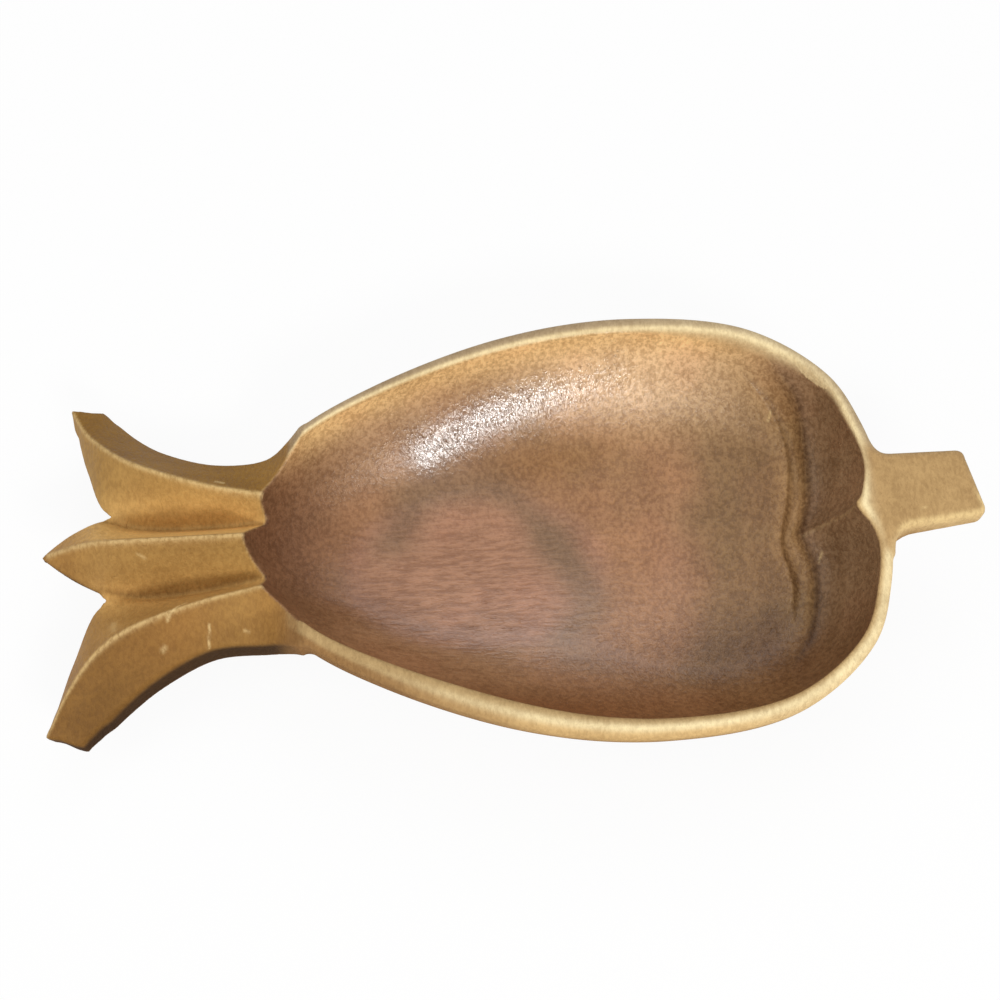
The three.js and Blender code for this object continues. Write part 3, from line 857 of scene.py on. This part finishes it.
def rim_tones(c):
    """Colours of the rim, from its inner edge to its outer edge."""
    x, y = c["x"], c["y"]
    across = (c["radius"] - c["inner"]) / (c["outer"] - c["inner"])
    north = starts(y, "rim")
    south_east = starts(x, "east rim") * (1 - north)
    south_west = ends(x, "west rim") * (1 - north)
    within = np.tile(RIM_TAN, (len(x), 1))
    # The rim's inner half on the north: its own gold, made lighter by painted light where it faces
    # the window
    within = tint(within, WALL_GOLD_PAINTED_LIGHT, 0.6 * north)
    within = tint(within, RIM_ORANGE, 0.8 * south_east)
    beyond = np.tile(RIM_ORANGE, (len(x), 1))
    beyond = tint(beyond, RIM_GREY, north)
    # Painted light on the rim's outer edge in the south-east, which faces the window
    beyond = tint(beyond, RIM_CREAM_AND_HIGHLIGHT, 0.35 * south_east)
    beyond = tint(beyond, RIM_BROWN, 0.9 * south_west)
    crest = mix(CREST_PLACE["south"], CREST_PLACE["north"], north)
    tones = mix(within, beyond, smoothstep(across, crest - 0.02, crest + 0.2)[:, None])
    tones = tint(tones, RIM_CREAM_AND_HIGHLIGHT, 0.35 * bell(np.degrees(c["angle"]), *PALE_RIM))
    width = mix(CREST_WIDTH["south"], CREST_WIDTH["north"], north)
    width = width + CREST_WIDTH["east"] * starts(x, "east rim")
    # The crest line: partly wear and partly a painted highlight
    return tint(tones, RIM_CREAM_AND_HIGHLIGHT, CREST_STRENGTH * (1 - south_west) * bell(across, crest, width))


def add_places(c, z, upward):
    """Adds to the plan's facts what the colours need to know about each point."""
    x, y = c["x"], c["y"]
    c["z"] = z
    c["upward"] = upward
    c["below"] = RIM_HEIGHT - z
    c["off_highlight"], c["along_highlight"] = curve_distance(x, y, HIGHLIGHT)
    c["beyond_ridge"] = np.abs(y) - pleat_at("ridge", x)[0]
    c["beyond_valley"] = np.abs(y) - pleat_at("valley", x)[0]
    c["on_leaf"] = (x < CAVITY_START + 24) * (np.abs(z - c["leaf"]) < 1.5)
    c["on_crown"] = ends(x, "crown to cavity") * (c["crown"] < 3)
    c["south_west"] = starts(-y, "south") * ends(x, "west")
    edge = (c["crown"] > -1.2) * ends(upward, "steep edge") * (x < LEAVES_END_X)
    c["south_edge"] = edge * (y < 0) * (c["crown"] < 2)

    c["blurred"] = bell(np.degrees(c["angle"]), *BLURRED_LIP)
    c["lip_depth"] = LIP_DEPTH + LIP_DEPTH_EXTRA * c["south_west"]
    blur = LIP_BLUR + LIP_BLUR_EXTRA * c["blurred"]
    lip = mix(smoothstep(c["below"], c["lip_depth"], c["lip_depth"] + blur), 1.0, c["on_crown"])
    c["to_cavity"] = np.abs(cavity_distance(c, z))
    near = ends(c["to_cavity"], "on the cavity")
    c["inside"] = near * lip * (c["radius"] < c["inner"] + 1)


def outside_tones(c):
    """Colours of the crown, the rim, the stem and the outside of the bowl."""
    x, y, below, out = c["x"], c["y"], c["below"], c["beyond_ridge"]
    crown_side = x < LEAVES_END_X
    outer_face = starts(out, "outer face") * crown_side
    inner_face = 1 - outer_face
    off_bowl = ends(x, "leaf roots")
    away = np.abs(y)
    middle_leaf = starts(away, "middle leaf") * ends(away, "middle leaf's sides") * crown_side
    # Where each crest's shadow falls into the valley beside it, which gets painted light
    valleys = bell(c["beyond_valley"], 3, 7) * inner_face * starts(y, "valleys")
    # Painted shade on the south leaf's outer face, deeper towards the tips and towards the face's
    # far edge
    shade = 0.9 * ends(x, "south leaf") + 0.35 * starts(out, "far outer face")
    # The south leaf's undercut side, which gets painted shade
    south_edge = c["south_edge"] * starts(c["leaf"] - c["z"], "dark edge")
    tones = np.tile(HONEY, (len(x), 1))
    for colour, share in [
        (SOUTH_HONEY, outer_face * (y < 0)),
        (LEAF_GOLD, 0.8 * starts(y, "side leaf") * inner_face),
        (LEAF_GOLD, 0.45 * starts(x, "mid crown") * off_bowl),
        # Painted light in the valleys' shadow and on the middle leaf's shaded north face
        (VALLEY_PAINTED_LIGHT, 0.7 * valleys * (0.4 + 0.6 * off_bowl)),
        (VALLEY_PAINTED_LIGHT, 0.95 * middle_leaf * (y > 0)),
        (LEAF_GOLD, 0.5 * middle_leaf * (y < 0)),
        (SOUTH_HONEY, 0.8 * ends(x, "leaf ends") * (y < 10)),
        (OLIVE, 0.95 * outer_face * (y > 0) * (0.5 + 0.5 * off_bowl)),
        # Painted shade on the south leaf's outer face
        (SOUTH_LEAF_PAINTED_SHADE, shade * outer_face * (y < 0)),
        # Painted shade, near black, on the south leaf's undercut side
        (UNDERCUT_PAINTED_SHADE, 0.95 * south_edge),
        (OUTER_BROWN, starts(x, "crown to bowl")),
        (STEM_GOLD, starts(x, "start of the stem") * ends(below, "stem")),
    ]:
        tones = tint(tones, colour, share)
    on_stem = (1 - smoothstep(c["stem"], -3, 3)) * starts(x, "end of the rim")
    on_rim = ends(below, "rim to hull") * (c["radius"] > c["inner"] - 5)
    on_rim = on_rim * starts(x, "start of the rim") * (1 - on_stem)
    tones = mix(tones, rim_tones(c), on_rim[:, None])
    neck = c["south_west"] * starts(below, "neck's side") * starts(x, "neck")
    tones = tint(tones, RIM_BROWN, 0.75 * neck)
    under = ends(c["upward"], "facing down") * starts(below, "underside")
    return tint(tones, UNDER_BROWN, 0.7 * under)


def wear_grime_and_painted_shade(c):
    """Strengths of the pale worn places, of the dark dirt and painted shade in the creases (the
    leaves' valleys, the channels, the foot of the wall and beside the heart's ridge), and of a dark
    line below the lip.
    """
    x, y, below, inside = c["x"], c["y"], c["below"], c["inside"]
    _, aside = off_ridge(x, y)
    by_ridge = (x > RIDGE_FOOT[0]) * inside * (below > 2)

    worn = (mark("leaf ridge", c["beyond_ridge"]) + mark("leaf ridge", y)) * c["on_leaf"]
    worn = worn * (x > TIP_X + 2)
    by_lip = ends(c["to_cavity"], "by the cavity") * (1 - inside) * c["on_crown"]
    worn = worn + LIP_WEAR * by_lip * (x < CAVITY_START + 30)
    stem_edge = mark("stem's south edge", c["stem"]) * smoothstep(STEM_OFFSET - y, 0, 8)
    stem_edge = stem_edge * ends(below, "worn stem's side")
    worn = worn + stem_edge * starts(x, "worn stem")
    # Painted light: a pale line on the lit side of the heart's ridge
    worn = worn + mark("heart's ridge, lit", aside) * by_ridge
    for start, end, width, strength in SCRATCHES:
        away = segment_distance(x, y, start, end)
        worn = worn + strength * bell(away, 0, width) * (c["upward"] > 0.2)

    to_floor, to_foot = x - c["floor_edge"], x - c["foot_edge"]
    channels = ends(np.abs(y - CHANNELS_MIDDLE), "channels") * inside
    floor_channel = starts(to_floor, "floor's edge") * starts(y, "floor channel")
    # Dirt and painted shade in the creases: the leaves' valleys, the floor's channel and the foot
    # of the wall
    grime_and_painted_shade = mark("valley", c["beyond_valley"]) * c["on_leaf"]
    grime_and_painted_shade = grime_and_painted_shade + mark("floor channel", to_floor) * floor_channel * channels
    grime_and_painted_shade = grime_and_painted_shade + mark("foot", to_foot) * channels
    grime_and_painted_shade = grime_and_painted_shade + mark("foot channel", to_foot) * smoothstep(to_foot, 0, 1) * channels
    # Painted shade on the shaded side of the heart's ridge
    grime_and_painted_shade = grime_and_painted_shade + mark("heart's ridge, shaded", aside) * smoothstep(aside, 0, 2) * by_ridge
    below_lip = mark("below the lip", below - c["lip_depth"]) * (1 - c["blurred"])
    grime_and_painted_shade = grime_and_painted_shade + below_lip * inside * (x > CAVITY_START + 12)
    return worn, grime_and_painted_shade


def surface_facts(points, normals):
    """Colour, wear and pattern places of each point of the mesh."""
    x, y, z = points.T
    c = columns(x, y)
    add_places(c, z, normals[:, 2])
    inside = c["inside"]
    worn, grime_and_painted_shade = wear_grime_and_painted_shade(c)
    glint = mark("highlight", c["off_highlight"])
    glint = glint * mix(1, 0.45, smoothstep(c["along_highlight"], 0.5, 0.9))
    glint = glint + mark("round the highlight", c["off_highlight"])
    gloss = GLOSS + glint + SHEEN * bell(off_oval(c, SHEEN_OVAL), 0, 1)
    steep_outside = (1 - inside) * ends(c["upward"], "steep outside")
    return {
        "tone": mix(outside_tones(c), cavity_tones(c), inside[:, None]),
        "worn": np.clip(worn, 0, 1),
        "grime_and_painted_shade": np.clip(grime_and_painted_shade, 0, 1),
        "inside": inside,
        "streaky": bell(off_oval(c, STREAKY_OVAL), 0, 1),
        "chatter": mark("chatter", c["off_highlight"]) * inside,
        "gloss": np.clip(gloss, 0, 1) * inside * (1 - np.clip(grime_and_painted_shade, 0, 1)),
        "dull": np.clip(c["south_edge"] + 0.9 * grime_and_painted_shade + steep_outside, 0, 1),
        "ripple": np.stack([c["angle"] * 80, c["inner"] - c["radius"], z], axis=1),
        "bands": x - c["floor_edge"] + 3 * wander(x, y, 30, 9),
        "banded": starts(x, "bands") * inside,
    }


normals = np.zeros(3 * len(points))
mesh.vertices.foreach_get("normal", normals)
for name, values in surface_facts(points, normals.reshape(-1, 3)).items():
    if name == "tone":
        values = np.concatenate([values, np.ones((len(values), 1))], axis=1)
    kinds = {"tone": ("FLOAT_COLOR", "color"), "ripple": ("FLOAT_VECTOR", "vector")}
    kind, field = kinds.get(name, ("FLOAT", "value"))
    layer = mesh.attributes.new(name, kind, "POINT")
    layer.data.foreach_set(field, values.astype(np.float32).ravel())

bowl = bpy.data.objects.new("carved_surface", mesh)
bpy.context.scene.collection.objects.link(bowl)
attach(bowl, "root")
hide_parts(NODE)


def add_node(tree, kind, inputs=(), **settings):
    """A node with its settings, and its inputs set or linked by name or number."""
    made = tree.nodes.new(kind)
    for key, value in settings.items():
        setattr(made, key, value)
    for key, value in dict(inputs).items():
        if isinstance(value, bpy.types.NodeSocket):
            tree.links.new(value, made.inputs[key])
        else:
            made.inputs[key].default_value = value
    return made


def calculate(tree, operation, *values):
    return add_node(tree, "ShaderNodeMath", enumerate(values), operation=operation).outputs[0]


def blend(tree, share, a, b, how="MIX"):
    """Colour a with colour b mixed in."""
    made = add_node(tree, "ShaderNodeMix", {0: share, 6: a, 7: b}, data_type="RGBA", blend_type=how)
    return made.outputs[2]


def noise(tree, vector, scale, detail=2.0, rough=0.5):
    """Noise that changes over 1 divided by scale of the vector's units, each axis for itself."""
    scaled = add_node(tree, "ShaderNodeVectorMath", {0: vector, 1: scale}, operation="MULTIPLY")
    inputs = {"Vector": scaled.outputs[0], "Scale": 1.0, "Detail": detail, "Roughness": rough}
    return add_node(tree, "ShaderNodeTexNoise", inputs).outputs["Fac"]


def between(tree, value, low, high, to_low=0.0, to_high=1.0):
    """Maps low..high to to_low..to_high, smoothly."""
    inputs = enumerate((value, low, high, to_low, to_high))
    made = add_node(tree, "ShaderNodeMapRange", inputs, interpolation_type="SMOOTHSTEP")
    return made.outputs[0]


# Patterns in the wood: scale per millimetre along x, y and z, detail and roughness
PATTERNS = {
    "wall specks": ((0.6, 0.5, 0.5), 3.0, 0.7),
    "floor streaks": ((0.12, 0.6, 0.5), 3.0, 0.7),
    "outer flecks": ((0.7, 0.34, 0.45), 3.0, 0.7),
    "clouds": ((0.05, 0.07, 0.07), 4.0, 0.6),
    "rings": ((0.16, 1, 1), 2.0, 0.5),
    "outer pores": ((1.3, 0.6, 0.9), 1.0, 0.5),
    "wall pores": ((0.9, 0.55, 0.8), 1.0, 0.5),
    "floor pores": ((0.3, 1.1, 1.0), 1.0, 0.5),
    "redness": ((0.03, 0.035, 0.03), 2.0, 0.5),
    "ripples": ((0.5, 0.16, 0.16), 2.0, 0.6),
}

# How far each pattern lightens or darkens the wood, outside and inside the cavity
FLECK_CONTRAST = (0.10, 0.22)
PORE_CONTRAST = (0.03, 0.06)
CLOUD_CONTRAST = 0.10
RING_CONTRAST = 0.08
CHANNEL_SHARES = (0.85, 1.0, 1.15)  # of those contrasts in red, green and blue
REDNESS = 0.2
REDDENED = (1.12, 0.93, 0.95, 1)
# Tint of the dirt and painted shade in the creases
SHADE_AND_GRIME_TINT = (0.30, 0.24, 0.20, 1)

# Gloss
ROUGHNESS = (0.55, 0.46)  # outside and inside the cavity
GLOSSY_ROUGHNESS_CUT = 0.16
DULL_ROUGHNESS = 0.95
COAT_ROUGHNESS = 0.2
COAT_IOR = 3.4
SPECULAR_LEVEL = 0.16
RIPPLE_RELIEF = 0.9
GRAIN_RELIEF = 0.5


def wood_material():
    material = bpy.data.materials.new("oiled_wood")
    material.use_nodes = True
    tree = material.node_tree
    shader = tree.nodes["Principled BSDF"]

    def facts(name, output="Fac"):
        return add_node(tree, "ShaderNodeAttribute", attribute_name=name).outputs[output]

    place = add_node(tree, "ShaderNodeVectorMath", {
        0: add_node(tree, "ShaderNodeTexCoord").outputs["Object"],
        1: (1 / M, 1 / M, 1 / M),
    }, operation="MULTIPLY").outputs[0]
    inside = facts("inside")
    streaky = facts("streaky")
    gloss = facts("gloss")

    def pick(share, a, b):
        """Value a, or value b where share is 1."""
        return add_node(tree, "ShaderNodeMix", {0: share, 2: a, 3: b}).outputs[0]

    def pattern(name, vector=place):
        return noise(tree, vector, *PATTERNS[name])

    def times(a, b):
        return calculate(tree, "MULTIPLY", a, b)

    # Grain: specks a millimetre long, stretched along the block on the floor and across it
    # on the leaves, the stem and the rim
    specks = pick(streaky, pattern("wall specks"), pattern("floor streaks"))
    fleck = pick(inside, pattern("outer flecks"), specks)
    band_place = add_node(tree, "ShaderNodeCombineXYZ", {0: facts("bands")}).outputs[0]
    rings = between(tree, pattern("rings", band_place), 0.3, 0.7, -RING_CONTRAST, RING_CONTRAST)
    clouds = between(tree, pattern("clouds"), 0.3, 0.7, -CLOUD_CONTRAST, CLOUD_CONTRAST)
    pores = pick(inside, pattern("outer pores"),
                 pick(streaky, pattern("wall pores"), pattern("floor pores")))
    pore = between(tree, pores, 0.64, 0.74)

    fleck_level = between(tree, inside, 0, 1, *FLECK_CONTRAST)
    level = times(between(tree, fleck, 0.37, 0.63, -1, 1), fleck_level)
    level = calculate(tree, "ADD", level, clouds)
    level = calculate(tree, "ADD", level, times(facts("banded"), rings))
    pore_level = times(pore, between(tree, inside, 0, 1, *PORE_CONTRAST))
    level = calculate(tree, "SUBTRACT", level, pore_level)
    shades = [calculate(tree, "MULTIPLY_ADD", level, share, 1.0) for share in CHANNEL_SHARES]
    grain = add_node(tree, "ShaderNodeCombineColor", enumerate(shades)).outputs[0]
    colour = blend(tree, 1.0, facts("tone", "Color"), grain, "MULTIPLY")

    redness = times(inside, between(tree, pattern("redness"), 0.42, 0.62, 0.0, REDNESS))
    colour = blend(tree, redness, colour, REDDENED, "MULTIPLY")
    # Dirt and painted shade in the creases darken the wood
    painted_shade_and_grime = times(facts("grime_and_painted_shade"), between(tree, fleck, 0.25, 0.7, 1.0, 0.75))
    colour = blend(tree, painted_shade_and_grime, colour, SHADE_AND_GRIME_TINT, "MULTIPLY")
    worn = times(facts("worn"), between(tree, fleck, 0.3, 0.62, 0.35, 1.0))
    colour = blend(tree, worn, colour, (*WORN_PALE, 1))
    tree.links.new(colour, shader.inputs["Base Color"])

    rough = between(tree, inside, 0, 1, *ROUGHNESS)
    rough = calculate(tree, "ADD", rough, between(tree, fleck, 0.3, 0.7, -0.05, 0.07))
    rough = calculate(tree, "SUBTRACT", rough, times(gloss, GLOSSY_ROUGHNESS_CUT))
    rough = pick(facts("dull"), rough, DULL_ROUGHNESS)
    tree.links.new(rough, shader.inputs["Roughness"])
    tree.links.new(gloss, shader.inputs["Coat Weight"])
    shader.inputs["Coat Roughness"].default_value = COAT_ROUGHNESS
    shader.inputs["Coat IOR"].default_value = COAT_IOR
    shader.inputs["Specular IOR Level"].default_value = SPECULAR_LEVEL

    ripples = pattern("ripples", facts("ripple", "Vector"))
    chatter = add_node(tree, "ShaderNodeBump", {
        "Height": times(ripples, facts("chatter")),
        "Strength": 1.0,
        "Distance": RIPPLE_RELIEF * M,
    })
    pits = times(pore, between(tree, gloss, 0.0, 0.7, 0.15, 0.9))
    fine = add_node(tree, "ShaderNodeBump", {
        "Height": calculate(tree, "SUBTRACT", fleck, pits),
        "Strength": 1.0,
        "Distance": GRAIN_RELIEF * M,
        "Normal": chatter.outputs[0],
    })
    tree.links.new(fine.outputs[0], shader.inputs["Normal"])
    tree.links.new(fine.outputs[0], shader.inputs["Coat Normal"])
    return material


mesh.materials.append(wood_material())

# The floor, white to the camera and in reflections but for a faint shadow
FLOOR_HALF_SIZE = 6.0  # metres
FLOOR_WHITE_SHARE = 0.92
FLOOR_GREY = 0.9
FLOOR_ROUGHNESS = 0.9


def white_to_camera(tree, lit, share):
    """The lit surface with plain white mixed in for camera, glossy and transmission rays."""
    path = add_node(tree, "ShaderNodeLightPath")
    seen = calculate(tree, "MAXIMUM", path.outputs["Is Camera Ray"], path.outputs["Is Glossy Ray"])
    seen = calculate(tree, "MAXIMUM", seen, path.outputs["Is Transmission Ray"])
    white = add_node(tree, "ShaderNodeEmission", {"Strength": 1.0}).outputs[0]
    part = calculate(tree, "MULTIPLY", seen, share)
    return add_node(tree, "ShaderNodeMixShader", {0: part, 1: lit, 2: white}).outputs[0]


floor_mesh = bpy.data.meshes.new("floor")
signs = ((-1, -1), (1, -1), (1, 1), (-1, 1))
corners = [(FLOOR_HALF_SIZE * x, FLOOR_HALF_SIZE * y, 0) for x, y in signs]
floor_mesh.from_pydata(corners, [], [(0, 1, 2, 3)])
floor = bpy.data.objects.new("floor", floor_mesh)
bpy.context.scene.collection.objects.link(floor)
floor_material = bpy.data.materials.new("floor")
floor_material.use_nodes = True
floor_tree = floor_material.node_tree
floor_shader = floor_tree.nodes["Principled BSDF"]
floor_shader.inputs["Base Color"].default_value = (FLOOR_GREY, FLOOR_GREY, FLOOR_GREY, 1)
floor_shader.inputs["Roughness"].default_value = FLOOR_ROUGHNESS
floor_out = white_to_camera(floor_tree, floor_shader.outputs[0], FLOOR_WHITE_SHARE)
floor_tree.links.new(floor_out, floor_tree.nodes["Material Output"].inputs["Surface"])
floor_mesh.materials.append(floor_material)

# The camera, which looks from the -Y side and above
CAMERA_ANGLES = (-4.01, 65.0, 0.66)  # azimuth, elevation and roll in degrees
CAMERA_DISTANCE = 527.94
CAMERA_TARGET = (-3.76, 7.77, RIM_HEIGHT)
CAMERA_LENS = 50.64
CAMERA_SENSOR = 36.0
CAMERA_NEAREST = 10.0

azimuth, elevation, roll = (math.radians(angle) for angle in CAMERA_ANGLES)
back = Vector((
    math.sin(azimuth) * math.cos(elevation),
    -math.cos(azimuth) * math.cos(elevation),
    math.sin(elevation),
))
right = Vector((0, 0, 1)).cross(back).normalized()
up = back.cross(right)
rolled_right = right * math.cos(roll) + up * math.sin(roll)
rolled_up = up * math.cos(roll) - right * math.sin(roll)
data = bpy.data.cameras.new("camera")
data.lens = CAMERA_LENS
data.sensor_width = CAMERA_SENSOR
data.clip_start = CAMERA_NEAREST * M
camera = bpy.data.objects.new("camera", data)
place = Vector(CAMERA_TARGET) * M + back * CAMERA_DISTANCE * M
turn = Matrix((rolled_right, rolled_up, back)).transposed().to_4x4()
camera.matrix_world = Matrix.Translation(place) @ turn
bpy.context.scene.collection.objects.link(camera)
bpy.context.scene.camera = camera

# Soft rectangular lamps that face the bowl: name, place, size, power in watts and colour
LAMPS = [
    ("window", (380, -1000, 880), (420, 260), 8.4, (1, 0.98, 0.95)),
    ("ceiling", (150, 700, 1000), (900, 600), 3.2, (0.93, 0.95, 1)),
    ("room", (-900, -100, 950), (700, 700), 3.0, (1, 0.98, 0.95)),
]
LAMP_TARGET = (0, 0, 20)
WORLD_STRENGTH = 0.5

for name, place, size, power, colour in LAMPS:
    data = bpy.data.lights.new(name, "AREA")
    data.shape = "RECTANGLE"
    data.size, data.size_y = size[0] * M, size[1] * M
    data.energy = power
    data.color = colour
    lamp = bpy.data.objects.new(name, data)
    lamp.location = Vector(place) * M
    towards = Vector(LAMP_TARGET) - Vector(place)
    lamp.rotation_euler = towards.to_track_quat("-Z", "Y").to_euler()
    bpy.context.scene.collection.objects.link(lamp)

world = bpy.data.worlds.new("world")
world.use_nodes = True
background = world.node_tree.nodes["Background"].inputs
background["Color"].default_value = (1, 1, 1, 1)
background["Strength"].default_value = WORLD_STRENGTH
bpy.context.scene.world = world
bpy.context.scene.view_settings.view_transform = "Standard"
